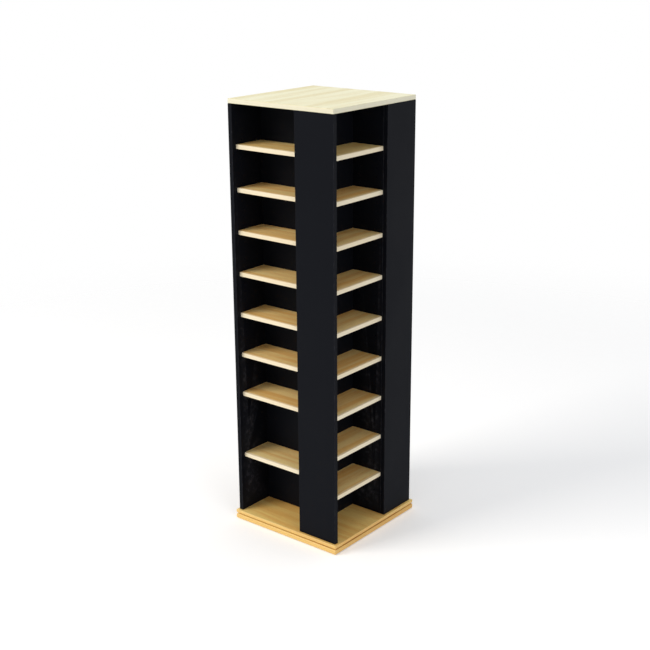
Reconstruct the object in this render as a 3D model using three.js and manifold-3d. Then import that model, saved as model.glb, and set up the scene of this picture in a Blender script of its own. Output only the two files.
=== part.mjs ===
// Revolving storage tower for discs and tapes. Units are millimetres and +Z is up.
// The origin is on the floor at the middle of the base, and the front face looks along -Y.
// Four black panels and four dividers stand like a pinwheel round a hollow core, so that each
// face has one open bay with shelves. The tower turns on a flat ball bearing on its base.
import * as THREE from "three";
import { mergeVertices } from "three/addons/utils/BufferGeometryUtils.js";
import Module from "manifold-3d";

// Carcass
const bodyWidth = 442;
const panelHeight = 1465;
const boardThickness = 16;
const sidePanelWidth = 158;
const jointGap = 0.3;
const blackEdge = 0.8;

// Shelves, which rest on pins in rows of holes
const shelfThickness = 15;
const shelfSetback = 17;
const shelfFit = 0.3;
const bottomSpace = 148.4;
const topSpace = 135.6;
const rowsPerDiscShelf = 5;
const discShelfCount = 9;
const tallShelfRow = 2;
const lowestDiscShelfOverTallRows = 2;

// Natural wood boards above and below the carcass
const topThickness = 16;
const floorThickness = 12;
const baseThickness = 16;
const footprintOverhang = 9;
const woodEdge = 1.5;

// Swivel bearing: two square steel sheets, each joined to a grooved ring, with balls between
const bearingHeight = 8;
const pocketDepth = 3.5;
const pocketFit = 1;
const plateSetback = 80;
const plateCorner = 12;
const sheetThickness = 1.5;
const ringSetback = 28;
const ballDiameter = 4.4;
const ballCount = 32;
const ringWidth = 8;
const ringSpacing = 1.6;
const runningClearance = 0.35;
const flangeWidth = 2;
const flangeThickness = 0.8;
const lipThickness = 0.8;
const skirtThickness = 1.2;
const cageWidth = 5.8;
const cageThickness = 0.8;

// Screws through the corners of the two sheets, and the hole that reaches the upper ones
const screwInset = 13;
const screwHeadDiameter = 7.4;
const screwHeadHeight = 1.7;
const screwHeadRim = 0.5;
const screwShankDiameter = 3.5;
const screwBite = 7.5;
const screwTip = 2.5;
const accessHoleDiameter = 20;

// Glides under the base board
const glideDiameter = 30;
const glideHeight = 2.5;
const glideEdge = 0.6;
const glideInset = 26;

// Facets
const roundSteps = 64;
const ballSides = 8;
const ballRings = 5;
const grooveSteps = 5;
const cornerSteps = 4;
const screwSteps = 12;
const domeSteps = 3;
const glideSteps = 24;
const cutOverrun = 1;

// Plan of the pinwheel
const halfBody = bodyWidth / 2;
const coreHalf = halfBody - sidePanelWidth;
const innerFace = halfBody - boardThickness;
const bayWidth = bodyWidth - sidePanelWidth - boardThickness;
const bayDepth = sidePanelWidth - boardThickness;
const footprint = bodyWidth + 2 * footprintOverhang;
const plateWidth = footprint - 2 * plateSetback;
const ballCircleRadius = plateWidth / 2 - ringSetback - ringWidth / 2;

// Heights
const shelfSpan = panelHeight - bottomSpace - shelfThickness - topSpace;
const pinRowPitch = shelfSpan / (rowsPerDiscShelf * (discShelfCount - 1));
const baseBottom = glideHeight + jointGap;
const baseTop = baseBottom + baseThickness;
const pocketFloor = baseTop - pocketDepth;
const bearingBottom = pocketFloor + jointGap;
const floorBottom = bearingBottom + bearingHeight + jointGap;
const panelBottom = floorBottom + floorThickness + jointGap;
const topBottom = panelBottom + panelHeight + jointGap;

// Finishes
const blackLaminate = { color: 0x16171b, roughness: 0.42, metalness: 0 };
const paleWood = { color: 0xeee3bd, roughness: 0.5, metalness: 0 };
const warmWood = { color: 0xe6b877, roughness: 0.5, metalness: 0 };
const shelfWood = { color: 0xe2bf86, roughness: 0.55, metalness: 0 };
const zincSteel = { color: 0xa9adb0, roughness: 0.35, metalness: 1 };
const ballSteel = { color: 0xc9ccd0, roughness: 0.2, metalness: 1 };
const darkNylon = { color: 0x2b2b2d, roughness: 0.6, metalness: 0 };

const wasm = await Module();
wasm.setup();

/** Turns a closed geometry into a solid that can be joined and cut. */
function solidOf(geometry) {
  const bare = geometry.clone();
  bare.deleteAttribute("normal");
  bare.deleteAttribute("uv");
  const merged = mergeVertices(bare);
  const corners = Array.from(merged.index.array);
  const whole = corners.filter((_, place) => {
    const first = place - (place % 3);
    const [a, b, c] = corners.slice(first, first + 3);
    return a !== b && b !== c && c !== a;
  });
  return new wasm.Manifold(new wasm.Mesh({
    numProp: 3,
    vertProperties: new Float32Array(merged.attributes.position.array),
    triVerts: new Uint32Array(whole),
  }));
}

/** Turns a solid back into a geometry. */
function geometryOf(solid) {
  const mesh = solid.getMesh();
  const geometry = new THREE.BufferGeometry();
  geometry.setAttribute("position", new THREE.BufferAttribute(mesh.vertProperties, 3));
  geometry.setIndex(new THREE.BufferAttribute(mesh.triVerts, 1));
  geometry.computeVertexNormals();
  return geometry;
}

/** Names a geometry as one piece with its own finish. */
function piece(name, geometry, finish) {
  const mesh = new THREE.Mesh(geometry, new THREE.MeshStandardMaterial(finish));
  mesh.name = name;
  return mesh;
}

/** A board that stands on z = 0, centred in plan, with every edge eased by a small flat. */
function easedBoard(width, depth, height, edge) {
  const x = width / 2;
  const y = depth / 2;
  const outline = new THREE.Shape([
    new THREE.Vector2(-x + edge, -y),
    new THREE.Vector2(x - edge, -y),
    new THREE.Vector2(x, -y + edge),
    new THREE.Vector2(x, y - edge),
    new THREE.Vector2(x - edge, y),
    new THREE.Vector2(-x + edge, y),
    new THREE.Vector2(-x, y - edge),
    new THREE.Vector2(-x, -y + edge),
  ]);
  const geometry = new THREE.ExtrudeGeometry(outline, {
    depth: height - 2 * edge,
    bevelThickness: edge,
    bevelSize: edge,
    bevelOffset: -edge,
    bevelSegments: 1,
  });
  return geometry.translate(0, 0, edge);
}

/** A square with round corners, centred on the origin. */
function roundedSquare(width, corner) {
  const far = width / 2;
  const near = far - corner;
  const outline = new THREE.Shape();
  outline.moveTo(near, -far);
  outline.absarc(near, -near, corner, -Math.PI / 2, 0);
  outline.absarc(near, near, corner, 0, Math.PI / 2);
  outline.absarc(-near, near, corner, Math.PI / 2, Math.PI);
  outline.absarc(-near, -near, corner, Math.PI, Math.PI * 3 / 2);
  outline.closePath();
  return outline;
}

/** A round rod along Z between two heights, used to cut holes. */
function rod(radius, bottom, top, x, y) {
  const geometry = new THREE.CylinderGeometry(radius, radius, top - bottom, screwSteps);
  geometry.rotateX(Math.PI / 2);
  return geometry.translate(x, y, (top + bottom) / 2);
}

/** A profile of [radius, height] points turned round the Z axis. */
function turned(profile, steps) {
  const points = profile.map(([radius, height]) => new THREE.Vector2(radius, height));
  return new THREE.LatheGeometry(points, steps).rotateX(Math.PI / 2);
}

/** The four corners where a sheet is screwed down, in the sheet's own directions. */
function screwPlaces() {
  const reach = plateWidth / 2 - screwInset;
  return [[reach, reach], [-reach, reach], [-reach, -reach], [reach, -reach]];
}

/** Cuts a blind hole for each screw into a board, between two heights. */
function drillForScrews(board, turn, bottom, top) {
  const radius = screwShankDiameter / 2 + jointGap;
  return screwPlaces().reduce((rest, [x, y]) => {
    const place = new THREE.Vector2(x, y).rotateAround(new THREE.Vector2(), turn);
    return rest.subtract(solidOf(rod(radius, bottom, top, place.x, place.y)));
  }, board);
}

const upperTurn = Math.PI / 4;

/** The stationary board, with a pocket for the bearing and a hole to reach its upper screws. */
function baseBoard() {
  const board = easedBoard(footprint, footprint, baseThickness, woodEdge).translate(0, 0, baseBottom);
  const pocketWidth = plateWidth + 2 * pocketFit;
  const pocket = new THREE.ExtrudeGeometry(roundedSquare(pocketWidth, plateCorner + pocketFit), {
    depth: pocketDepth + cutOverrun,
    bevelEnabled: false,
    curveSegments: cornerSteps,
  }).translate(0, 0, pocketFloor);
  const holeReach = (plateWidth / 2 - screwInset) * Math.SQRT2;
  const access = rod(accessHoleDiameter / 2, baseBottom - cutOverrun, baseTop + cutOverrun, 0, -holeReach);
  const hollowed = solidOf(board).subtract(solidOf(pocket)).subtract(solidOf(access));
  const holeBottom = pocketFloor - screwBite - jointGap;
  return geometryOf(drillForScrews(hollowed, 0, holeBottom, pocketFloor + cutOverrun));
}

/** The board that the tower stands on, drilled from below for the upper sheet. */
function floorBoard() {
  const board = easedBoard(footprint, footprint, floorThickness, woodEdge).translate(0, 0, floorBottom);
  const holeTop = floorBottom + screwBite + jointGap;
  return geometryOf(drillForScrews(solidOf(board), upperTurn, floorBottom - cutOverrun, holeTop));
}

const bearingMiddle = bearingHeight / 2;
const grooveRadius = ballDiameter / 2 + runningClearance;
const ringInner = ballCircleRadius - ringWidth / 2;
const ringOuter = ballCircleRadius + ringWidth / 2;
const lowerRingTop = bearingMiddle - ringSpacing / 2;
const upperRingBottom = bearingMiddle + ringSpacing / 2;
const flangeBottom = lowerRingTop - flangeThickness;
const flangeInner = ringInner - flangeWidth;
const skirtOuter = flangeInner - runningClearance;
const skirtInner = skirtOuter - skirtThickness;
const lipOuter = ringInner - runningClearance;
const lipTop = flangeBottom - runningClearance;
const lipBottom = lipTop - lipThickness;

/** The ball groove of a ring, from its outer edge to its inner edge. side is -1 below the balls. */
function groove(side) {
  const spread = Math.acos(ringSpacing / 2 / grooveRadius);
  return Array.from({ length: grooveSteps + 1 }, (_, step) => {
    const angle = spread - 2 * spread * step / grooveSteps;
    const radius = ballCircleRadius + grooveRadius * Math.sin(angle);
    return [radius, bearingMiddle + side * grooveRadius * Math.cos(angle)];
  });
}

/** A square steel sheet with round corners, screw holes and a round opening under its ring. */
function bearingSheet(bottom) {
  const outline = roundedSquare(plateWidth, plateCorner);
  const opening = new THREE.Path();
  opening.absarc(0, 0, ballCircleRadius + grooveRadius, 0, 2 * Math.PI);
  const sheet = new THREE.ExtrudeGeometry(
    new THREE.Shape(outline.getPoints(cornerSteps)), { depth: sheetThickness, bevelEnabled: false });
  const centre = new THREE.ExtrudeGeometry(new THREE.Shape(opening.getPoints(roundSteps / 2)), {
    depth: sheetThickness + 2 * cutOverrun,
    bevelEnabled: false,
  }).translate(0, 0, -cutOverrun);
  const open = solidOf(sheet).subtract(solidOf(centre));
  return drillForScrews(open, 0, -cutOverrun, sheetThickness + cutOverrun).translate([0, 0, bottom]);
}

/** The lower half: its ring carries the balls, and a flange inside it holds the upper lip down. */
function lowerPlate() {
  const ring = turned([
    [ringInner, 0],
    [ringOuter, 0],
    [ringOuter, lowerRingTop],
    ...groove(-1),
    [flangeInner, lowerRingTop],
    [flangeInner, flangeBottom],
    [ringInner, flangeBottom],
    [ringInner, 0],
  ], roundSteps);
  return geometryOf(bearingSheet(0).add(solidOf(ring)));
}

/** The upper half: its skirt reaches down inside the lower ring and its lip hooks under the flange. */
function upperPlate() {
  const ring = turned([
    [skirtInner, bearingHeight],
    [skirtInner, lipBottom],
    [lipOuter, lipBottom],
    [lipOuter, lipTop],
    [skirtOuter, lipTop],
    [skirtOuter, upperRingBottom],
    ...groove(1).reverse(),
    [ringOuter, upperRingBottom],
    [ringOuter, bearingHeight],
    [skirtInner, bearingHeight],
  ], roundSteps);
  return geometryOf(bearingSheet(bearingHeight - sheetThickness).add(solidOf(ring)));
}

/** A flat ring with the balls held in it, evenly round the circle. */
function ballCage() {
  const inner = ballCircleRadius - cageWidth / 2;
  const outer = ballCircleRadius + cageWidth / 2;
  const bottom = bearingMiddle - cageThickness / 2;
  const top = bearingMiddle + cageThickness / 2;
  const ring = turned([[inner, bottom], [outer, bottom], [outer, top], [inner, top], [inner, bottom]], roundSteps);
  let cage = solidOf(ring);
  for (let ball = 0; ball < ballCount; ball += 1) {
    const angle = 2 * Math.PI * ball / ballCount;
    const sphere = new THREE.SphereGeometry(ballDiameter / 2, ballSides, ballRings);
    sphere.translate(ballCircleRadius * Math.cos(angle), ballCircleRadius * Math.sin(angle), bearingMiddle);
    cage = cage.add(solidOf(sphere));
  }
  return geometryOf(cage);
}

/** A pan-head screw that points down, with the underside of its head at z = 0. */
function screw() {
  const shank = screwShankDiameter / 2;
  const head = screwHeadDiameter / 2;
  const length = sheetThickness + 2 * jointGap + screwBite;
  const dome = Array.from({ length: domeSteps + 1 }, (_, step) => {
    const angle = Math.PI / 2 * step / domeSteps;
    return [head * Math.cos(angle), screwHeadRim + (screwHeadHeight - screwHeadRim) * Math.sin(angle)];
  });
  dome[domeSteps][0] = 0;
  return turned([[0, -length], [shank, -length + screwTip], [shank, 0], [head, 0], ...dome], screwSteps);
}

/** A round glide that stands on z = 0. */
function glide() {
  const radius = glideDiameter / 2;
  return turned([
    [0, 0],
    [radius - glideEdge, 0],
    [radius, glideEdge],
    [radius, glideHeight],
    [0, glideHeight],
  ], glideSteps);
}

/** The rows where a face carries shelves, as counts of pin rows above the lowest disc shelf. */
function shelfRows(hasTallRows) {
  const discRows = Array.from({ length: discShelfCount }, (_, shelf) => shelf * rowsPerDiscShelf);
  return hasTallRows ? [tallShelfRow, ...discRows.slice(lowestDiscShelfOverTallRows)] : discRows;
}

/** One quarter of the pinwheel, drawn as the front face: a panel, a divider and the bay's shelves. */
function quarter(face, hasTallRows) {
  const group = new THREE.Group();
  const panel = piece(
    `side_panel_${face}`, easedBoard(sidePanelWidth, boardThickness, panelHeight, blackEdge), blackLaminate);
  panel.position.set(coreHalf + sidePanelWidth / 2, -halfBody + boardThickness / 2, panelBottom);

  const dividerLength = bayWidth - 2 * jointGap;
  const divider = piece(
    `divider_${face}`, easedBoard(boardThickness, dividerLength, panelHeight, blackEdge), blackLaminate);
  divider.position.set(coreHalf + boardThickness / 2, (coreHalf - innerFace) / 2, panelBottom);
  group.add(panel, divider);

  const shelfWidth = bayWidth - 2 * shelfFit;
  const shelfDepth = bayDepth - shelfSetback - shelfFit;
  shelfRows(hasTallRows).forEach((row, place) => {
    const shelf = piece(
      `shelf_${face}_${place + 1}`, easedBoard(shelfWidth, shelfDepth, shelfThickness, blackEdge), shelfWood);
    const shelfBottom = panelBottom + bottomSpace + row * pinRowPitch;
    shelf.position.set((coreHalf - innerFace) / 2, -halfBody + shelfSetback + shelfDepth / 2, shelfBottom);
    group.add(shelf);
  });
  return group;
}

/** The bearing with its screws, standing on z = 0. */
function bearing() {
  const group = new THREE.Group();
  const upper = new THREE.Group();
  upper.rotation.z = upperTurn;
  upper.add(piece("bearing_upper_plate", upperPlate(), zincSteel));
  group.add(piece("bearing_lower_plate", lowerPlate(), zincSteel), upper);
  group.add(piece("bearing_ball_cage", ballCage(), ballSteel));
  screwPlaces().forEach(([x, y], place) => {
    const low = piece(`lower_plate_screw_${place + 1}`, screw(), zincSteel);
    low.position.set(x, y, sheetThickness + jointGap);
    group.add(low);
    const high = piece(`upper_plate_screw_${place + 1}`, screw(), zincSteel);
    high.position.set(x, y, bearingHeight - sheetThickness - jointGap);
    high.rotation.x = Math.PI;
    upper.add(high);
  });
  return group;
}

/** The four glides, one near each corner of the base. */
function glides() {
  const group = new THREE.Group();
  const reach = footprint / 2 - glideInset;
  [[1, -1], [1, 1], [-1, 1], [-1, -1]].forEach(([sideX, sideY], place) => {
    const foot = piece(`glide_${place + 1}`, glide(), darkNylon);
    foot.position.set(sideX * reach, sideY * reach, 0);
    group.add(foot);
  });
  return group;
}

const tower = new THREE.Group();
tower.add(piece("base_board", baseBoard(), warmWood));
tower.add(piece("floor_board", floorBoard(), warmWood));

const topBoard = piece("top_board", easedBoard(bodyWidth, bodyWidth, topThickness, woodEdge), paleWood);
topBoard.position.z = topBottom;
tower.add(topBoard);

const swivel = bearing();
swivel.position.z = bearingBottom;
tower.add(swivel, glides());

["front", "right", "back", "left"].forEach((face, turn) => {
  const side = quarter(face, turn % 2 === 0);
  side.rotation.z = turn * Math.PI / 2;
  tower.add(side);
});

export default tower;
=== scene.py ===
"""Dresses the revolving disc and tape tower with its finishes, edges, pin holes and shelf pins.

All sizes are in metres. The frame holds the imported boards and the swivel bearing. This script gives
every board rounded edges and a finish, bores the rows of pin holes, adds the pins that carry the
shelves, and sets the camera, the lamps and the floor.
"""

from __future__ import annotations

import logging
import math
from dataclasses import dataclass, field
from enum import Enum

import bpy
import numpy as np
from mathutils import Matrix, Vector


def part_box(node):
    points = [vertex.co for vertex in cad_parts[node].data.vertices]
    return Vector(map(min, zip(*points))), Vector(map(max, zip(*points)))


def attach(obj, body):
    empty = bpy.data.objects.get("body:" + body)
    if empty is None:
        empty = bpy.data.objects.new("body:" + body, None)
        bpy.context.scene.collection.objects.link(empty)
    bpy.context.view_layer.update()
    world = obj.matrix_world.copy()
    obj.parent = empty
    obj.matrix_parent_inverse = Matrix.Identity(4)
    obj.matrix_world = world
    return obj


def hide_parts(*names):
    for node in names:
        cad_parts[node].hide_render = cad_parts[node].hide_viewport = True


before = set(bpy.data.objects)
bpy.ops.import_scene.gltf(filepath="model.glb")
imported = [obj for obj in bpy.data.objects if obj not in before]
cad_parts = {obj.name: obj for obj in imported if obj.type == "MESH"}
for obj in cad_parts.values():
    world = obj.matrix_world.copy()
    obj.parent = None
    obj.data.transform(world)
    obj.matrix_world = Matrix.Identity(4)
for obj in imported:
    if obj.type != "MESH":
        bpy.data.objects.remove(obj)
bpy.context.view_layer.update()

log = logging.getLogger("tower")

MM = 0.001
TURNING_BODY = "tower"
FACES = ("front", "right", "back", "left")


class Grain(Enum):
    """The direction in which the fibres of a wood board run."""

    ALONG_X = "x"
    ALONG_Y = "y"


@dataclass(frozen=True)
class Tone:
    """A colour as it is seen on a screen, with parts from 0 to 255."""

    red: float
    green: float
    blue: float

    def linear(self) -> tuple[float, float, float, float]:
        """The same colour in scene-linear values, with an alpha of one."""
        parts = np.array([self.red, self.green, self.blue]) / 255
        low = parts / 12.92
        high = ((parts + 0.055) / 1.055) ** 2.4
        red, green, blue = np.where(parts <= 0.04045, low, high)
        return float(red), float(green), float(blue), 1.0


class NodeBench:
    """Lays out the nodes of one material or world.

    Args:
        tree: the node tree to fill. Its old nodes are removed.
    """

    def __init__(self, tree: bpy.types.NodeTree) -> None:
        self.tree = tree
        self.tree.nodes.clear()

    def add(self, kind: str, values: dict | None = None, **settings) -> bpy.types.Node:
        """Adds a node.

        Args:
            kind: the node's Blender type.
            values: a number, colour or vector for each named or numbered input socket.
            settings: properties of the node itself.

        Returns:
            The new node.
        """
        node = self.tree.nodes.new(kind)
        for name, value in settings.items():
            setattr(node, name, value)
        for socket, value in (values or {}).items():
            node.inputs[socket].default_value = value
        return node

    def link(self, source: bpy.types.NodeSocket, target: bpy.types.NodeSocket) -> None:
        """Joins an output socket to an input socket."""
        self.tree.links.new(source, target)

    def math(self, operation: str, first: bpy.types.NodeSocket | float,
             second: bpy.types.NodeSocket | float | None = None, clamp: bool = False) -> bpy.types.NodeSocket:
        """Adds a sum of two values, each a socket or a number.

        Args:
            operation: the name of Blender's operation, such as MULTIPLY.
            first: the first value.
            second: the second value, where the operation has one.
            clamp: keeps the result from 0 to 1.

        Returns:
            The socket that holds the result.
        """
        node = self.add("ShaderNodeMath", operation=operation, use_clamp=clamp)
        for place, value in enumerate((first, second)):
            if isinstance(value, bpy.types.NodeSocket):
                self.link(value, node.inputs[place])
            elif value is not None:
                node.inputs[place].default_value = value
        return node.outputs[0]

    def blend(self, share: bpy.types.NodeSocket | float, first: bpy.types.NodeSocket | tuple,
              second: bpy.types.NodeSocket | tuple) -> bpy.types.NodeSocket:
        """Mixes two colours, each a socket or a linear colour.

        Args:
            share: the share of the second colour, a socket or a number.
            first: the colour at share 0.
            second: the colour at share 1.

        Returns:
            The socket that holds the mixed colour.
        """
        node = self.add("ShaderNodeMix", data_type="RGBA")
        for socket, value in ((node.inputs[0], share), (node.inputs[6], first), (node.inputs[7], second)):
            if isinstance(value, bpy.types.NodeSocket):
                self.link(value, socket)
            else:
                socket.default_value = value
        return node.outputs[2]

    def noise(self, place: bpy.types.NodeSocket, scale: float, detail: float,
              rough: float = 0.5) -> bpy.types.NodeSocket:
        """Adds a noise pattern.

        Args:
            place: the place vector that the pattern is read at.
            scale: spots to the metre, about.
            detail: how many finer patterns are added.
            rough: how strong each finer pattern is.

        Returns:
            The socket that holds the pattern's grey, about 0.5 in the middle.
        """
        node = self.add("ShaderNodeTexNoise", {"Scale": scale, "Detail": detail, "Roughness": rough})
        self.link(place, node.inputs["Vector"])
        return node.outputs["Fac"]

    def spread(self, value: bpy.types.NodeSocket, low: float, high: float, to_low: float,
               to_high: float) -> bpy.types.NodeSocket:
        """Maps a value from one span to another, smoothly and held at both ends.

        Args:
            value: the value to map.
            low: where the first span starts.
            high: where the first span ends.
            to_low: the result at low.
            to_high: the result at high.

        Returns:
            The socket that holds the result.
        """
        node = self.add(
            "ShaderNodeMapRange",
            {"From Min": low, "From Max": high, "To Min": to_low, "To Max": to_high},
            interpolation_type="SMOOTHSTEP",
        )
        self.link(value, node.inputs["Value"])
        return node.outputs["Result"]

    def stretched(self, place: bpy.types.NodeSocket,
                  stretch: tuple[float, float, float]) -> bpy.types.NodeSocket:
        """Scales a place vector.

        Args:
            place: the vector.
            stretch: the factor along each axis.

        Returns:
            The socket that holds the scaled vector.
        """
        node = self.add("ShaderNodeMapping", {"Scale": stretch})
        self.link(place, node.inputs["Vector"])
        return node.outputs["Vector"]

    def bumped(self, height: bpy.types.NodeSocket, depth: float, strength: float) -> bpy.types.NodeSocket:
        """Turns a height pattern into a surface normal.

        Args:
            height: the pattern.
            depth: the height of its steps in metres.
            strength: how strongly it shows, from 0 to 1.

        Returns:
            The socket that holds the normal.
        """
        node = self.add("ShaderNodeBump", {"Distance": depth, "Strength": strength})
        self.link(height, node.inputs["Height"])
        return node.outputs["Normal"]

    def surface(self, shader: bpy.types.Node) -> None:
        """Joins a shader to the material's output."""
        output = self.add("ShaderNodeOutputMaterial")
        self.link(shader.outputs[0], output.inputs["Surface"])


def new_bench(name: str) -> tuple[bpy.types.Material, NodeBench]:
    """Makes an empty node material and the bench that fills it."""
    material = bpy.data.materials.new(name)
    material.use_nodes = True
    return material, NodeBench(material.node_tree)


@dataclass(frozen=True)
class WoodFinish:
    """Clear-finished birch, with soft growth bands, fine fibres and short pores along the grain.

    Attributes:
        name: the material's name.
        pale: the colour between the growth bands.
        deep: the colour of the bands, fibres and pores.
        edge: the colour laid over the board's sides, the tone of its edge banding; on the top board it is
            whiter, as a painted highlight.
        slot: the record's material slot; not used.
        band_line: half the distance between the glue lines of the edge banding on a square board,
            or zero where the board has none.
        roughness: the middle of the finish's roughness.
        band_scale: growth bands to the metre, about.
        fibre_scale: fibres to the metre, about.
        pore_scale: pores to the metre across the grain, about.
        drift_stretch: the pattern that bends the bands, along each axis.
        drift_reach: how far it bends them, along each axis.
        band_length: how much longer a band is than wide.
        fibre_length: how much longer a fibre is than wide.
        pore_length: how much longer a pore is than wide.
        pore_span: the values of the pore pattern between which a pore grows dark.
        band_span: the values of the band pattern between which the deep colour comes in.
        fibre_depth: the most that a fibre takes of the deep colour.
        pore_depth: the most that a pore takes of the dark colour.
        edge_cover: the most that the edge colour covers of the grain.
        relief: the depth of the fibres and pores.
        relief_strength: how strongly they show.
    """

    name: str
    pale: Tone
    deep: Tone
    edge: Tone
    slot: str
    band_line: float = 0.0
    roughness: float = 0.42
    band_scale: float = 26.0
    fibre_scale: float = 420.0
    pore_scale: float = 900.0
    drift_stretch: tuple[float, float, float] = (1.2, 5.0, 5.0)
    drift_reach: tuple[float, float, float] = (0.0, 0.06, 0.06)
    band_length: float = 18.0
    fibre_length: float = 40.0
    pore_length: float = 22.0
    pore_span: tuple[float, float] = (0.60, 0.74)
    band_span: tuple[float, float] = (0.34, 0.68)
    fibre_depth: float = 0.16
    pore_depth: float = 0.35
    edge_cover: float = 0.6
    relief: float = 0.08 * MM
    relief_strength: float = 0.5

    def build(self, grain: Grain) -> bpy.types.Material:
        """Makes the material for boards with their fibres along one axis.

        The growth bands are a noise that is stretched 18 times along the grain. The fibres are a finer
        noise that is stretched more, and the pores are the darkest spots of the finest one. On the
        board's ends the grain turns, because the edge banding runs round the board.

        Args:
            grain: the axis that the fibres follow.

        Returns:
            The finished material.
        """
        material, bench = new_bench(f"{self.name}_{grain.value}")
        where = bench.add("ShaderNodeTexCoord")
        facing = bench.add("ShaderNodeSeparateXYZ")
        bench.link(where.outputs["Normal"], facing.inputs[0])
        side = bench.math("SUBTRACT", 1.0, bench.math("ABSOLUTE", facing.outputs["Z"]), clamp=True)
        cross_facing = facing.outputs["X" if grain is Grain.ALONG_X else "Y"]
        at_end = bench.math("GREATER_THAN", bench.math("ABSOLUTE", cross_facing), 0.6)

        place = bench.add("ShaderNodeSeparateXYZ")
        bench.link(where.outputs["Object"], place.inputs[0])
        x, y = place.outputs["X"], place.outputs["Y"]
        along, across = (x, y) if grain is Grain.ALONG_X else (y, x)
        run = bench.math("ADD", bench.math("MULTIPLY", along, bench.math("SUBTRACT", 1.0, at_end)),
                         bench.math("MULTIPLY", across, at_end))
        width = bench.math("ADD", bench.math("MULTIPLY", across, bench.math("SUBTRACT", 1.0, at_end)),
                           bench.math("MULTIPLY", along, at_end))
        fibre_place = bench.add("ShaderNodeCombineXYZ")
        bench.link(run, fibre_place.inputs["X"])
        bench.link(width, fibre_place.inputs["Y"])
        bench.link(place.outputs["Z"], fibre_place.inputs["Z"])
        lengthwise = fibre_place.outputs[0]

        drift = bench.noise(bench.stretched(lengthwise, self.drift_stretch), 1.0, 2.0)
        band_place = bench.add("ShaderNodeVectorMath", {1: self.drift_reach}, operation="MULTIPLY_ADD")
        drift_vector = bench.add("ShaderNodeCombineXYZ")
        for axis in ("X", "Y", "Z"):
            bench.link(drift, drift_vector.inputs[axis])
        bench.link(drift_vector.outputs[0], band_place.inputs[0])
        bench.link(lengthwise, band_place.inputs[2])
        band_stretch = bench.stretched(band_place.outputs[0], (1 / self.band_length, 1.0, 1.0))
        bands = bench.noise(band_stretch, self.band_scale, 5.0, 0.55)
        fibre_stretch = bench.stretched(lengthwise, (1 / self.fibre_length, 1.0, 1.0))
        fibres = bench.noise(fibre_stretch, self.fibre_scale, 3.0, 0.6)
        pore_stretch = bench.stretched(lengthwise, (1 / self.pore_length, 1.0, 1.0))
        pores = bench.noise(pore_stretch, self.pore_scale, 1.0, 0.4)
        pore_share = bench.spread(pores, *self.pore_span, 0.0, 1.0)

        figure = bench.spread(bands, *self.band_span, 0.0, 1.0)
        wood = bench.blend(figure, self.pale.linear(), self.deep.linear())
        fibre_share = bench.math("MULTIPLY", bench.spread(fibres, 0.3, 0.7, 0.0, 1.0), self.fibre_depth)
        streaked = bench.blend(fibre_share, wood, self.deep.linear())
        dark = Tone(self.deep.red * 0.72, self.deep.green * 0.66, self.deep.blue * 0.58)
        pored = bench.blend(bench.math("MULTIPLY", pore_share, self.pore_depth), streaked, dark.linear())
        # On the sides the edge colour covers up to edge_cover of the grain; the top board's whiter side tone
        # is a painted highlight.
        edge_share = bench.spread(side, 0.45, 0.9, 0.0, self.edge_cover)
        colour = bench.blend(edge_share, pored, self.edge.linear())
        if self.band_line:
            colour = bench.blend(self.glue_line(bench, x, y, side), colour, dark.linear())

        shine = bench.spread(bands, 0.3, 0.7, self.roughness - 0.05, self.roughness + 0.07)
        relief = bench.math("SUBTRACT", fibres, bench.math("MULTIPLY", pore_share, 0.8))
        shader = bench.add("ShaderNodeBsdfPrincipled", {"Specular IOR Level": 0.35, "Coat Weight": 0.12,
                                                        "Coat Roughness": 0.3})
        bench.link(colour, shader.inputs["Base Color"])
        bench.link(shine, shader.inputs["Roughness"])
        bench.link(bench.bumped(relief, self.relief, self.relief_strength), shader.inputs["Normal"])
        bench.surface(shader)
        return material

    def glue_line(self, bench: NodeBench, x: bpy.types.NodeSocket, y: bpy.types.NodeSocket,
                  side: bpy.types.NodeSocket) -> bpy.types.NodeSocket:
        """Draws the fine line where the veneer of a square board meets its edge banding.

        The line is where the larger of |x| and |y| is the band_line distance.

        Args:
            bench: the material's bench.
            x: the place along X.
            y: the place along Y.
            side: 0 on the board's faces and 1 on its edges.

        Returns:
            The share of the line's colour.
        """
        reach = bench.math("MAXIMUM", bench.math("ABSOLUTE", x), bench.math("ABSOLUTE", y))
        off = bench.math("ABSOLUTE", bench.math("SUBTRACT", reach, self.band_line))
        line = bench.spread(off, 0.1 * MM, 0.3 * MM, 0.45, 0.0)
        return bench.math("MULTIPLY", line, bench.math("LESS_THAN", side, 0.5))


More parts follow.
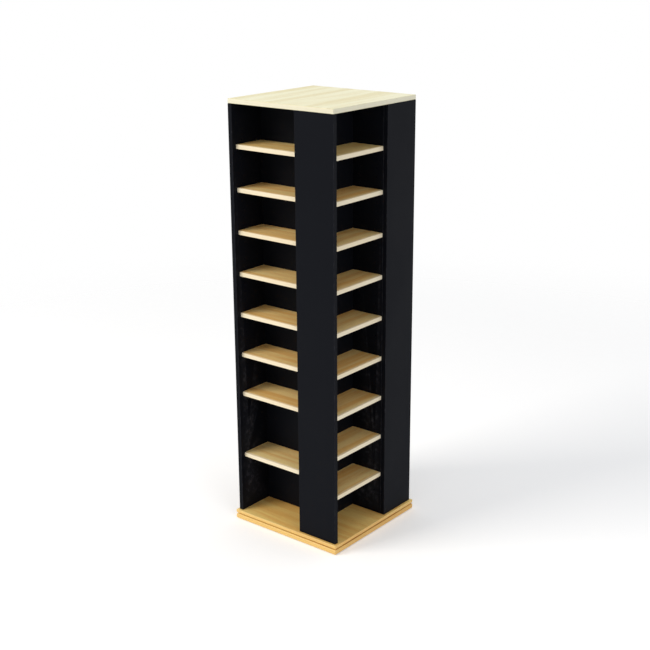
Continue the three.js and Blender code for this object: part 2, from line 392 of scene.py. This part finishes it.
@dataclass(frozen=True)
class LaminateFinish:
    """Black melamine laminate with a fine pearl, faint hand marks, patchy wear on its edges and an even
    painted highlight along every edge.
    """

    name: str = "black_laminate"
    slot: str = "black_laminate"
    body: Tone = Tone(13, 15, 21)
    # The paler tone of the edges: painted highlight and wear.
    rubbed_and_edge_highlight: Tone = Tone(72, 72, 78)
    roughness: float = 0.5
    pearl_scale: float = 1600.0
    smear_scale: float = 5.5

    def build(self) -> bpy.types.Material:
        """Makes the material.

        Returns:
            The finished material. On the rounded edges, read from the piece's edge_share attribute, it lays a
            paler tone: an even painted highlight plus patchy wear.
        """
        material, bench = new_bench(self.name)
        where = bench.add("ShaderNodeTexCoord").outputs["Object"]
        edge = bench.add("ShaderNodeAttribute", attribute_name="edge_share").outputs["Fac"]
        pearl = bench.noise(where, self.pearl_scale, 2.0, 0.6)
        smears = bench.noise(bench.stretched(where, (1.0, 1.0, 0.6)), self.smear_scale, 4.0, 0.55)
        chafe = bench.spread(bench.noise(where, 60.0, 4.0, 0.65), 0.46, 0.7, 0.0, 1.0)
        # Painted highlight and wear: every rounded edge takes 0.12 of the paler tone evenly as a painted
        # highlight, and up to half more in patches of wear.
        wear_and_highlight = bench.math("MULTIPLY", edge, bench.math("ADD", bench.math("MULTIPLY", chafe, 0.5), 0.12))
        colour = bench.blend(wear_and_highlight, self.body.linear(), self.rubbed_and_edge_highlight.linear())
        shine = bench.spread(smears, 0.3, 0.7, self.roughness - 0.02, self.roughness + 0.05)
        shader = bench.add("ShaderNodeBsdfPrincipled", {"Specular IOR Level": 0.06})
        bench.link(colour, shader.inputs["Base Color"])
        bench.link(shine, shader.inputs["Roughness"])
        bench.link(bench.bumped(pearl, 0.02 * MM, 0.25), shader.inputs["Normal"])
        bench.surface(shader)
        return material


@dataclass(frozen=True)
class SteelFinish:
    """Plated steel with cloudy patches in its plating and fine rolling lines along X."""

    name: str
    slot: str
    body: Tone
    dull: Tone
    roughness: float

    def build(self) -> bpy.types.Material:
        """Makes the material and returns it."""
        material, bench = new_bench(self.name)
        where = bench.add("ShaderNodeTexCoord").outputs["Object"]
        cloud = bench.spread(bench.noise(where, 45.0, 4.0, 0.6), 0.35, 0.65, 0.0, 1.0)
        rolling = bench.noise(bench.stretched(where, (0.03, 1.0, 1.0)), 1400.0, 2.0, 0.6)
        colour = bench.blend(cloud, self.body.linear(), self.dull.linear())
        shine = bench.spread(cloud, 0.0, 1.0, self.roughness, self.roughness + 0.14)
        shader = bench.add("ShaderNodeBsdfPrincipled", {"Metallic": 1.0})
        bench.link(colour, shader.inputs["Base Color"])
        bench.link(shine, shader.inputs["Roughness"])
        bench.link(bench.bumped(rolling, 0.02 * MM, 0.4), shader.inputs["Normal"])
        bench.surface(shader)
        return material


@dataclass(frozen=True)
class NylonFinish:
    """Dark moulded nylon with a spark-eroded grain and a dusty rim."""

    name: str = "glide_nylon"
    slot: str = "glide_nylon"
    body: Tone = Tone(44, 44, 47)
    dusty: Tone = Tone(86, 84, 80)

    def build(self) -> bpy.types.Material:
        """Makes the material and returns it."""
        material, bench = new_bench(self.name)
        where = bench.add("ShaderNodeTexCoord").outputs["Object"]
        grain = bench.noise(where, 2200.0, 2.0, 0.7)
        dust = bench.spread(bench.noise(where, 120.0, 4.0, 0.6), 0.5, 0.75, 0.0, 0.6)
        shader = bench.add("ShaderNodeBsdfPrincipled", {"Specular IOR Level": 0.3})
        bench.link(bench.blend(dust, self.body.linear(), self.dusty.linear()), shader.inputs["Base Color"])
        bench.link(bench.spread(grain, 0.3, 0.7, 0.5, 0.66), shader.inputs["Roughness"])
        bench.link(bench.bumped(grain, 0.03 * MM, 0.5), shader.inputs["Normal"])
        bench.surface(shader)
        return material


@dataclass
class Surface:
    """A mesh as whole arrays.

    Attributes:
        points: the place of each vertex.
        quads: four corners to a row.
        smooth: whether each quad is shaded smooth.
        edge_share: how far each vertex lies on a rounded edge, from 0 to 1.
        triangles: three corners to a row, shaded flat.
    """

    points: np.ndarray
    quads: np.ndarray
    smooth: np.ndarray
    edge_share: np.ndarray | None = None
    triangles: np.ndarray = field(default_factory=lambda: np.zeros((0, 3), int))

    def mesh(self, name: str) -> bpy.types.Mesh:
        """Makes the Blender mesh.

        Args:
            name: the mesh's name.

        Returns:
            A new mesh with the edge_share attribute, where the surface has one.
        """
        mesh = bpy.data.meshes.new(name)
        mesh.from_pydata(self.points.tolist(), [], self.quads.tolist() + self.triangles.tolist())
        flat = np.zeros(len(self.triangles), bool)
        mesh.polygons.foreach_set("use_smooth", np.concatenate([self.smooth.astype(bool), flat]))
        if self.edge_share is not None:
            attribute = mesh.attributes.new("edge_share", "FLOAT", "POINT")
            attribute.data.foreach_set("value", self.edge_share.astype(np.float32))
        mesh.update()
        return mesh


def rail(half: float, radius: float, steps: int, margin: float) -> np.ndarray:
    """Grid places along one side of a box from -half to half.

    The places within one radius of each end are radius times the tangent of even angles up to 45
    degrees, so that they land evenly on the rounded edge. One more place lies a margin inside.

    Args:
        half: half the side's length.
        radius: the edge's radius.
        steps: places on each half of the rounded edge.
        margin: distance from the edge's end to the next place on the flat.

    Returns:
        The places, in rising order.
    """
    flat = half - radius
    bend = flat + radius * np.tan(np.linspace(0, math.pi / 4, steps + 1))
    upper = np.concatenate([[max(flat - margin, flat / 2)], bend])
    return np.concatenate([-upper[::-1], upper])


def rounded_board(low: np.ndarray, high: np.ndarray, radius: float, steps: int = 3) -> Surface:
    """A board with every edge and corner rounded to one radius.

    For each of its six faces, a point q runs over a grid on the outer box. The nearest point m of the
    inner box, which is one radius smaller all round, is found by clipping q, and the surface point is
    m plus the radius times the direction from m to q.

    Args:
        low: the board's lowest corner.
        high: the board's highest corner.
        radius: the radius of its edges.
        steps: grid places on each half of a rounded edge.

    Returns:
        The closed surface, flat-shaded on its faces and smooth on its edges.
    """
    centre = (low + high) / 2
    half = (high - low) / 2
    inner = half - radius
    margin = 3 * radius
    points, faces, count = [], [], 0
    for axis in range(3):
        u, v = (axis + 1) % 3, (axis + 2) % 3
        across = rail(half[u], radius, steps, margin)
        along = rail(half[v], radius, steps, margin)
        grid_u, grid_v = np.meshgrid(across, along, indexing="ij")
        place = np.arange(grid_u.size).reshape(grid_u.shape)
        quads = np.stack([place[:-1, :-1], place[1:, :-1], place[1:, 1:], place[:-1, 1:]], -1).reshape(-1, 4)
        for side in (-1, 1):
            outer = np.zeros((grid_u.size, 3))
            outer[:, u] = grid_u.ravel()
            outer[:, v] = grid_v.ravel()
            outer[:, axis] = side * half[axis]
            points.append(outer)
            faces.append((quads if side > 0 else quads[:, ::-1]) + count)
            count += grid_u.size
    outer = np.vstack(points)
    quads = np.vstack(faces)
    nearest = np.clip(outer, -inner, inner)
    way = outer - nearest
    way /= np.linalg.norm(way, axis=1, keepdims=True)
    merged, back = np.unique(np.round(nearest + radius * way, 8), axis=0, return_inverse=True)
    quads = back.reshape(-1)[quads]
    normals = np.zeros_like(merged)
    normals[back.reshape(-1)] = way
    corner_normals = normals[quads]
    smooth = (np.ptp(corner_normals, axis=1).max(axis=1) > 1e-6)
    edge_share = (np.abs(normals).max(axis=1) < 0.9999).astype(float)
    return Surface(merged + centre, quads, smooth, edge_share)


def turned(profile: np.ndarray, axis: Vector, places: np.ndarray, sides: int) -> Surface:
    """A profile turned round an axis, repeated at many places in one mesh.

    The point at angle a and profile step s is place + h(s) * axis + r(s) * (cos a * u + sin a * v),
    where u, v and the axis are at right angles. The profile starts and ends on the axis.

    Args:
        profile: rows of radius and distance along the axis. The first and last radius are zero.
        axis: the direction of the axis.
        places: the foot of the axis at each place.
        sides: corners round the axis.

    Returns:
        The closed surfaces as one, smooth round the axis.
    """
    way = np.array(axis.normalized())
    side = np.cross(way, [0.0, 0.0, 1.0]) if abs(way[2]) < 0.9 else np.array([1.0, 0.0, 0.0])
    side /= np.linalg.norm(side)
    other = np.cross(way, side)
    angles = np.arange(sides) * 2 * math.pi / sides
    spokes = np.cos(angles)[:, None] * side + np.sin(angles)[:, None] * other
    rings = profile[1:-1, 0][:, None, None] * spokes[None] + (profile[1:-1, 1][:, None] * way)[:, None, :]
    poles = profile[[0, -1], 1][:, None] * way
    shape = np.vstack([rings.reshape(-1, 3), poles])
    ring_count = len(profile) - 2
    ring, corner = np.meshgrid(np.arange(ring_count - 1), np.arange(sides), indexing="ij")
    following = (corner + 1) % sides
    a, b = ring * sides + corner, ring * sides + following
    walls = np.stack([a, b, b + sides, a + sides], -1).reshape(-1, 4)
    corner = np.arange(sides)
    following = (corner + 1) % sides
    foot, tip = ring_count * sides, ring_count * sides + 1
    last = (ring_count - 1) * sides
    start = np.stack([np.full(sides, foot), following, corner], -1)
    end = np.stack([np.full(sides, tip), last + corner, last + following], -1)
    caps = np.vstack([start, end])
    jumps = (np.arange(len(places)) * len(shape))[:, None, None]
    return Surface(
        points=(shape[None] + places[:, None, :]).reshape(-1, 3),
        quads=(walls[None] + jumps).reshape(-1, 4),
        smooth=np.ones(len(walls) * len(places), bool),
        triangles=(caps[None] + jumps).reshape(-1, 3),
    )


def add_piece(name: str, mesh: bpy.types.Mesh, material: bpy.types.Material, body: str,
              replaced: tuple[str, ...] = ()) -> bpy.types.Object:
    """Puts a finished mesh into the scene.

    Args:
        name: the piece's name.
        mesh: its mesh, in place.
        material: its finish.
        body: the body that it moves with.
        replaced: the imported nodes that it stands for.

    Returns:
        The new object.
    """
    piece = bpy.data.objects.new(name, mesh)
    bpy.context.scene.collection.objects.link(piece)
    mesh.materials.clear()
    mesh.materials.append(material)
    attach(piece, body)
    if replaced:
        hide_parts(*replaced)
    log.info("%s: %d faces", name, len(mesh.polygons))
    return piece


def dress(node: str, material: bpy.types.Material) -> None:
    """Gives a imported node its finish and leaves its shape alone.

    Args:
        node: the node's name.
        material: its finish.
    """
    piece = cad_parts[node]
    if not piece.material_slots:
        piece.data.materials.append(material)
    for place in piece.material_slots:
        place.material = material
    log.info("%s: dressed", node)


def node_box(node: str) -> tuple[np.ndarray, np.ndarray]:
    """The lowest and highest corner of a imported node, as arrays."""
    low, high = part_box(node)
    return np.array(low), np.array(high)


def quarter_turn(face: str) -> np.ndarray:
    """The turn that carries the front face's directions to another face's.

    Args:
        face: the other face.

    Returns:
        A matrix that turns a column of X, Y and Z.
    """
    quarters = FACES.index(face)
    turns = {0: (1, 0), 1: (0, 1), 2: (-1, 0), 3: (0, -1)}
    cos, sin = turns[quarters]
    return np.array([[cos, -sin, 0.0], [sin, cos, 0.0], [0.0, 0.0, 1.0]])


@dataclass
class PinSystem:
    """The rows of holes in the bay walls and the pins that carry the shelves."""

    hole_radius: float = 2.5 * MM
    hole_depth: float = 9 * MM
    hole_bevel: float = 0.35 * MM
    from_shelf_front: float = 28 * MM
    from_shelf_back: float = 28 * MM
    rows_per_shelf: int = 5
    end_margin: float = 70 * MM
    pin_head_radius: float = 3.4 * MM
    pin_reach: float = 7.5 * MM
    pin_collar: float = 1.2 * MM
    sides: int = 12

    def shelf_names(self, face: str) -> list[str]:
        """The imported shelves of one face, from the lowest up."""
        names = [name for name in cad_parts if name.startswith(f"shelf_{face}_")]
        return sorted(names, key=lambda name: int(name.rsplit("_", 1)[1]))

    def row_pitch(self) -> float:
        """Works out the height between two rows from the evenly spaced disc shelves.

        Returns:
            The height.
        """
        names = self.shelf_names("right")
        lowest, highest = node_box(names[0])[0][2], node_box(names[-1])[0][2]
        return (highest - lowest) / (self.rows_per_shelf * (len(names) - 1))

    def rows(self) -> np.ndarray:
        """Works out the rows of holes between the margins at the panels' ends.

        Returns:
            The height of each row.
        """
        low, high = node_box("side_panel_front")
        pitch = self.row_pitch()
        lowest = node_box("shelf_right_1")[0][2] - self.hole_radius
        below = int((lowest - low[2] - self.end_margin) / pitch)
        above = int((high[2] - self.end_margin - lowest) / pitch)
        return lowest + pitch * np.arange(-below, above + 1)

    def columns(self) -> tuple[float, float]:
        """The depth of the two columns, as places along Y in the front bay."""
        low, high = node_box("shelf_front_1")
        return float(low[1]) + self.from_shelf_front, float(high[1]) - self.from_shelf_back

    def walls(self) -> dict[float, float]:
        """The front bay's two side walls, as a place along X and the way into the bay."""
        return {float(node_box("side_panel_left")[1][0]): 1.0, float(node_box("divider_front")[0][0]): -1.0}

    def hole_places(self, wall: float) -> np.ndarray:
        """Where the holes of one wall of the front bay open."""
        depth, height = np.meshgrid(self.columns(), self.rows(), indexing="ij")
        return np.column_stack([np.full(depth.size, wall), depth.ravel(), height.ravel()])

    def cutter(self, face: str, wall: float, inward: float) -> Surface:
        """Rods with a flared mouth that bore the holes of one wall.

        Args:
            face: the face whose bay the wall belongs to.
            wall: the wall's place along X in the front bay.
            inward: the way from the wall into the bay, along X.

        Returns:
            The rods, turned to that face.
        """
        turn = quarter_turn(face)
        overrun = self.hole_depth / 4
        mouth = self.hole_radius + self.hole_bevel
        profile = np.array([
            [0.0, -self.hole_depth],
            [self.hole_radius, -self.hole_depth],
            [self.hole_radius, -self.hole_bevel],
            [mouth, 0.0],
            [mouth, overrun],
            [0.0, overrun],
        ])
        axis = Vector(turn @ np.array([inward, 0.0, 0.0]))
        return turned(profile, axis, self.hole_places(wall) @ turn.T, self.sides)

    def pins(self, face: str) -> Surface:
        """The pins under one face's shelves, each with a collar on the wall and a round end.

        Args:
            face: the face whose shelves they carry.

        Returns:
            All the pins of that face as one surface.
        """
        turn = quarter_turn(face)
        heights = np.array([node_box(name)[0][2] for name in self.shelf_names(face)]) - self.hole_radius
        dome = np.linspace(0, math.pi / 2, 4)
        tip = self.hole_radius * 0.4
        shank = self.hole_radius - 0.1 * MM
        end = np.column_stack([shank - tip * (1 - np.cos(dome)), self.pin_reach - tip + tip * np.sin(dome)])
        collar_lip = self.pin_collar * 0.35
        profile = np.vstack([
            [[0.0, -self.hole_depth * 0.8], [shank, -self.hole_depth * 0.8], [shank, 0.0]],
            [[self.pin_head_radius - collar_lip, 0.05 * MM], [self.pin_head_radius, collar_lip]],
            [[self.pin_head_radius, self.pin_collar - collar_lip]],
            [[self.pin_head_radius - collar_lip, self.pin_collar]],
            [[shank, self.pin_collar]],
            end,
            [[0.0, self.pin_reach]],
        ])
        parts = []
        for wall, inward in self.walls().items():
            depth, height = np.meshgrid(self.columns(), heights, indexing="ij")
            places = np.column_stack([np.full(depth.size, wall), depth.ravel(), height.ravel()])
            axis = Vector(turn @ np.array([inward, 0.0, 0.0]))
            parts.append(turned(profile, axis, places @ turn.T, self.sides))
        first, second = parts
        shift = len(first.points)
        return Surface(
            points=np.vstack([first.points, second.points]),
            quads=np.vstack([first.quads, second.quads + shift]),
            smooth=np.concatenate([first.smooth, second.smooth]),
            triangles=np.vstack([first.triangles, second.triangles + shift]),
        )

    def build(self, steel: bpy.types.Material, slot: str) -> None:
        """Adds the pins of every face.

        Args:
            steel: the pins' finish.
            slot: the record's material slot of that finish; not used.
        """
        for face in FACES:
            name = f"shelf_pins_{face}"
            add_piece(name, self.pins(face).mesh(name), steel, TURNING_BODY)


@dataclass
class Carcass:
    """The black side panels and dividers, with rounded edges and their rows of pin holes."""

    pin_system: PinSystem
    edge_radius: float = 1.0 * MM

    def walls_of(self, kind: str, face: str) -> list[tuple[str, float, float]]:
        """Finds the bay wall that a board gives.

        Args:
            kind: side_panel or divider.
            face: the face that the board belongs to.

        Returns:
            The face whose bay it is, the wall's place along X in the front bay, and the way in.
        """
        (side_wall, side_way), (divider_wall, divider_way) = self.pin_system.walls().items()
        if kind == "divider":
            return [(face, divider_wall, divider_way)]
        following = FACES[(FACES.index(face) + 1) % len(FACES)]
        return [(following, side_wall, side_way)]

    def board(self, kind: str, face: str) -> bpy.types.Mesh:
        """One board of the carcass, bored for its shelf pins.

        Args:
            kind: side_panel or divider.
            face: the face that the board belongs to.

        Returns:
            The finished mesh, in place.
        """
        node = f"{kind}_{face}"
        low, high = node_box(node)
        surface = rounded_board(low, high, self.edge_radius)
        plain = bpy.data.objects.new(f"{node}_plain", surface.mesh(f"{node}_plain"))
        bpy.context.scene.collection.objects.link(plain)
        spent = [plain]
        for place, (bay, wall, inward) in enumerate(self.walls_of(kind, face)):
            rods = self.pin_system.cutter(bay, wall, inward).mesh(f"{node}_rods")
            cutter = bpy.data.objects.new(f"{node}_rods_{place}", rods)
            bpy.context.scene.collection.objects.link(cutter)
            cut = plain.modifiers.new(f"bore_{place}", "BOOLEAN")
            cut.operation = "DIFFERENCE"
            cut.solver = "EXACT"
            cut.object = cutter
            spent.append(cutter)
        bpy.context.view_layer.update()
        bored = plain.evaluated_get(bpy.context.evaluated_depsgraph_get())
        mesh = bpy.data.meshes.new_from_object(bored)
        mesh.name = node
        for old in spent:
            bpy.data.objects.remove(old)
        return mesh

    def build(self, finish: LaminateFinish) -> None:
        """Builds and dresses the eight boards.

        Args:
            finish: their finish.
        """
        material = finish.build()
        for kind in ("side_panel", "divider"):
            for face in FACES:
                node = f"{kind}_{face}"
                mesh = self.board(kind, face)
                add_piece(f"{kind}_board_{face}", mesh, material, TURNING_BODY, (node,))


@dataclass
class Shelves:
    """The wood shelves, each a veneered board with a solid lipping along its front."""

    lipping_depth: float = 9 * MM
    board_radius: float = 0.4 * MM
    lipping_radius: float = 1.4 * MM
    seam: float = 0.12 * MM

    def build(self, pin_system: PinSystem, board: WoodFinish, lipping: WoodFinish) -> None:
        """Builds and dresses the shelves of every face.

        Args:
            pin_system: gives the shelves of each face.
            board: the finish of the veneered boards.
            lipping: the finish of the front lippings, whose paler cream than the boards is painted light on
                the shelf fronts.
        """
        for face in FACES:
            grain = Grain.ALONG_X if face in ("front", "back") else Grain.ALONG_Y
            board_wood = board.build(grain)
            lipping_wood = lipping.build(grain)
            outward = quarter_turn(face) @ np.array([0.0, -1.0, 0.0])
            for place, node in enumerate(pin_system.shelf_names(face), start=1):
                core, strip = self.split(*node_box(node), outward)
                core_mesh = rounded_board(*core, self.board_radius, 2).mesh(node)
                strip_mesh = rounded_board(*strip, self.lipping_radius).mesh(node)
                name = f"shelf_board_{face}_{place}"
                add_piece(name, core_mesh, board_wood, TURNING_BODY, (node,))
                name = f"shelf_lipping_{face}_{place}"
                add_piece(name, strip_mesh, lipping_wood, TURNING_BODY)

    def split(self, low: np.ndarray, high: np.ndarray,
              outward: np.ndarray) -> tuple[tuple[np.ndarray, np.ndarray], tuple[np.ndarray, np.ndarray]]:
        """Divides a shelf's box into its board and its front lipping.

        Args:
            low: the shelf's lowest corner.
            high: its highest corner.
            outward: the way out of the bay.

        Returns:
            The lowest and highest corners of the board, then those of the lipping.
        """
        axis = int(np.argmax(np.abs(outward)))
        core_low, core_high, strip_low, strip_high = low.copy(), high.copy(), low.copy(), high.copy()
        if outward[axis] < 0:
            strip_high[axis] = low[axis] + self.lipping_depth
            core_low[axis] = strip_high[axis] + self.seam
        else:
            strip_low[axis] = high[axis] - self.lipping_depth
            core_high[axis] = strip_low[axis] - self.seam
        return (core_low, core_high), (strip_low, strip_high)


@dataclass
class EndBoards:
    """The wood boards above and below the carcass."""

    edge_radius: float = 1.8 * MM

    def build(self, top: WoodFinish, foot: WoodFinish) -> None:
        """Rounds the top board's edges and dresses all three boards.

        Args:
            top: the finish of the top board: the foot's wood, painted paler and whiter for the light from
                above.
            foot: the finish of the floor board and the base board.
        """
        mesh = rounded_board(*node_box("top_board"), self.edge_radius).mesh("top_board")
        wood = top.build(Grain.ALONG_Y)
        add_piece("top_board_veneered", mesh, wood, TURNING_BODY, ("top_board",))
        foot_wood = foot.build(Grain.ALONG_X)
        for node in ("floor_board", "base_board"):
            dress(node, foot_wood)


@dataclass
class Swivel:
    """The ball bearing between the floor board and the base board, its screws and the glides."""

    def build(self, plate: SteelFinish, ball: SteelFinish, glide: NylonFinish) -> None:
        """Dresses the bearing, its screws and the glides.

        Args:
            plate: the finish of the plates and the screws.
            ball: the finish of the balls in their cage.
            glide: the finish of the glides.
        """
        plate_steel = plate.build()
        ball_steel = ball.build()
        nylon = glide.build()
        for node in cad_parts:
            if node == "bearing_ball_cage":
                dress(node, ball_steel)
            elif node.startswith("bearing_") or "screw" in node:
                dress(node, plate_steel)
            elif node.startswith("glide_"):
                dress(node, nylon)


@dataclass
class Studio:
    """The floor, the lamps, the background and the camera."""

    azimuth: float = 38.9
    elevation: float = 17.89
    roll: float = -0.36
    distance: float = 4.2
    lens: float = 66.58
    aim_right: float = 0.0037
    aim_height: float = 0.7265
    floor_size: float = 12.0
    floor_lift: float = 0.25
    fade_start: float = 1.6
    fade_end: float = 4.0

    def directions(self) -> tuple[np.ndarray, np.ndarray, np.ndarray]:
        """The camera's right, up and back directions before its roll."""
        turn, rise = math.radians(self.azimuth), math.radians(self.elevation)
        back = np.array([math.sin(turn) * math.cos(rise), -math.cos(turn) * math.cos(rise), math.sin(rise)])
        right = np.array([math.cos(turn), math.sin(turn), 0.0])
        return right, np.cross(back, right), back

    def add_camera(self) -> None:
        """Adds the camera at the photograph's angle."""
        right, up, back = self.directions()
        aim = right * self.aim_right + np.array([0.0, 0.0, self.aim_height])
        place = aim + back * self.distance
        tilt = math.radians(self.roll)
        rolled_right = math.cos(tilt) * right + math.sin(tilt) * up
        rolled_up = math.cos(tilt) * up - math.sin(tilt) * right
        data = bpy.data.cameras.new("camera")
        data.lens = self.lens
        data.sensor_width = 36
        data.clip_end = 100
        camera = bpy.data.objects.new("camera", data)
        bpy.context.scene.collection.objects.link(camera)
        turn = Matrix(np.column_stack([rolled_right, rolled_up, back]).tolist()).to_4x4()
        camera.matrix_world = Matrix.Translation(place.tolist()) @ turn
        bpy.context.scene.camera = camera

    def add_lamp(self, name: str, place: tuple[float, float, float], size: float, power: float,
                 tone: Tone) -> None:
        """Adds a square soft lamp that faces the middle of the tower.

        Args:
            name: the lamp's name.
            place: where it stands.
            size: the length of its sides.
            power: its power in watts.
            tone: the colour of its light.
        """
        data = bpy.data.lights.new(name, "AREA")
        data.shape = "SQUARE"
        data.size = size
        data.energy = power
        data.color = tone.linear()[:3]
        lamp = bpy.data.objects.new(name, data)
        bpy.context.scene.collection.objects.link(lamp)
        lamp.location = place
        way = Vector(place) - Vector((0.0, 0.0, self.aim_height))
        lamp.rotation_euler = way.to_track_quat("Z", "Y").to_euler()

    def add_floor(self) -> None:
        """Adds the pale floor, which fades into the white background away from the tower."""
        half = self.floor_size / 2
        corners = np.array([[-half, -half, 0.0], [half, -half, 0.0], [half, half, 0.0], [-half, half, 0.0]])
        mesh = Surface(corners, np.array([[0, 1, 2, 3]]), np.zeros(1, bool)).mesh("floor")
        floor = bpy.data.objects.new("floor", mesh)
        bpy.context.scene.collection.objects.link(floor)
        material, bench = new_bench("studio_floor")
        shader = bench.add("ShaderNodeBsdfPrincipled", {
            "Base Color": Tone(250, 250, 250).linear(), "Roughness": 0.9, "Specular IOR Level": 0.0,
            "Emission Color": (1.0, 1.0, 1.0, 1.0)})
        lift = bench.math("MULTIPLY", self.seen_rays(bench), self.floor_lift)
        bench.link(lift, shader.inputs["Emission Strength"])
        place = bench.add("ShaderNodeTexCoord").outputs["Object"]
        radius = bench.add("ShaderNodeVectorMath", operation="LENGTH")
        bench.link(place, radius.inputs[0])
        faded = bench.spread(radius.outputs["Value"], self.fade_start, self.fade_end, 0.0, 1.0)
        mix = bench.add("ShaderNodeMixShader")
        bench.link(faded, mix.inputs[0])
        bench.link(shader.outputs[0], mix.inputs[1])
        bench.link(bench.add("ShaderNodeBsdfTransparent").outputs[0], mix.inputs[2])
        bench.surface(mix)
        mesh.materials.append(material)

    def seen_rays(self, bench: NodeBench) -> bpy.types.NodeSocket:
        """Tells the rays that show the background from those that light the object.

        Args:
            bench: the bench of the material or world.

        Returns:
            The socket that holds 1 for camera, glossy and transmission rays, and 0 for others.
        """
        rays = bench.add("ShaderNodeLightPath").outputs
        return bench.math("MAXIMUM", rays["Is Camera Ray"],
                          bench.math("MAXIMUM", rays["Is Glossy Ray"], rays["Is Transmission Ray"]))

    def add_world(self) -> None:
        """Adds an even soft light, seen by the camera and by gloss as plain white."""
        world = bpy.data.worlds.new("studio")
        world.use_nodes = True
        bpy.context.scene.world = world
        bench = NodeBench(world.node_tree)
        seen = self.seen_rays(bench)
        soft = bench.add("ShaderNodeBackground", {"Color": Tone(242, 245, 250).linear(), "Strength": 0.48})
        white = bench.add("ShaderNodeBackground", {"Color": (1.0, 1.0, 1.0, 1.0), "Strength": 1.0})
        mix = bench.add("ShaderNodeMixShader")
        bench.link(seen, mix.inputs[0])
        bench.link(soft.outputs[0], mix.inputs[1])
        bench.link(white.outputs[0], mix.inputs[2])
        output = bench.add("ShaderNodeOutputWorld")
        bench.link(mix.outputs[0], output.inputs["Surface"])

    def build(self) -> None:
        """Sets up the whole studio."""
        self.add_camera()
        self.add_floor()
        self.add_world()
        warm, cool = Tone(255, 250, 242), Tone(246, 249, 255)
        self.add_lamp("key", (-3.2, -5.2, 5.2), 3.5, 310, warm)
        self.add_lamp("fill", (6.0, -2.5, 3.2), 3.0, 75, cool)
        self.add_lamp("top", (0.5, 0.8, 6.0), 3.0, 45, warm)
        view = bpy.context.scene.view_settings
        view.view_transform = "Standard"


def glue_line_of(node: str, band_thickness: float = 1.2 * MM) -> float:
    """Half the distance between the glue lines of a square board's edge banding."""
    return float(node_box(node)[1][0]) - band_thickness


def main() -> None:
    """Builds the studio and every sub-assembly of the tower, in order."""
    logging.basicConfig(level=logging.INFO, format="%(name)s %(message)s")
    Studio().build()
    # top_wood and base_wood are one wood. The top's paler, whiter cream against the foot's deeper gold is
    # painted light, the top being lit harder from above; the top's whiter edge tone is a painted highlight
    # too.
    top_wood = WoodFinish("top_wood", Tone(244, 241, 204), Tone(230, 220, 172), Tone(252, 244, 222),
                          "top_wood", glue_line_of("top_board"))
    foot_wood = WoodFinish("base_wood", Tone(255, 222, 138), Tone(240, 186, 100), Tone(247, 197, 112),
                           "base_wood", glue_line_of("base_board"))
    shelf_wood = WoodFinish("shelf_wood", Tone(255, 228, 160), Tone(238, 188, 110), Tone(250, 218, 160),
                            "shelf_wood")
    # The lippings share the shelf wood's slot; their paler cream is painted light: the shelf fronts lit, the
    # shelf tops in shade.
    lipping_wood = WoodFinish("lipping_wood", Tone(255, 240, 206), Tone(246, 220, 172), Tone(255, 242, 212),
                              "shelf_wood")
    plate = SteelFinish("bearing_steel", "bearing_steel", Tone(206, 208, 210), Tone(168, 171, 174), 0.3)
    ball = SteelFinish("ball_steel", "ball_steel", Tone(226, 228, 230), Tone(204, 206, 209), 0.14)
    pin_system = PinSystem()
    Carcass(pin_system).build(LaminateFinish())
    Shelves().build(pin_system, shelf_wood, lipping_wood)
    EndBoards().build(top_wood, foot_wood)
    Swivel().build(plate, ball, NylonFinish())
    pin_system.build(plate.build(), plate.slot)
    bpy.context.view_layer.update()


if __name__ == "__main__":
    main()
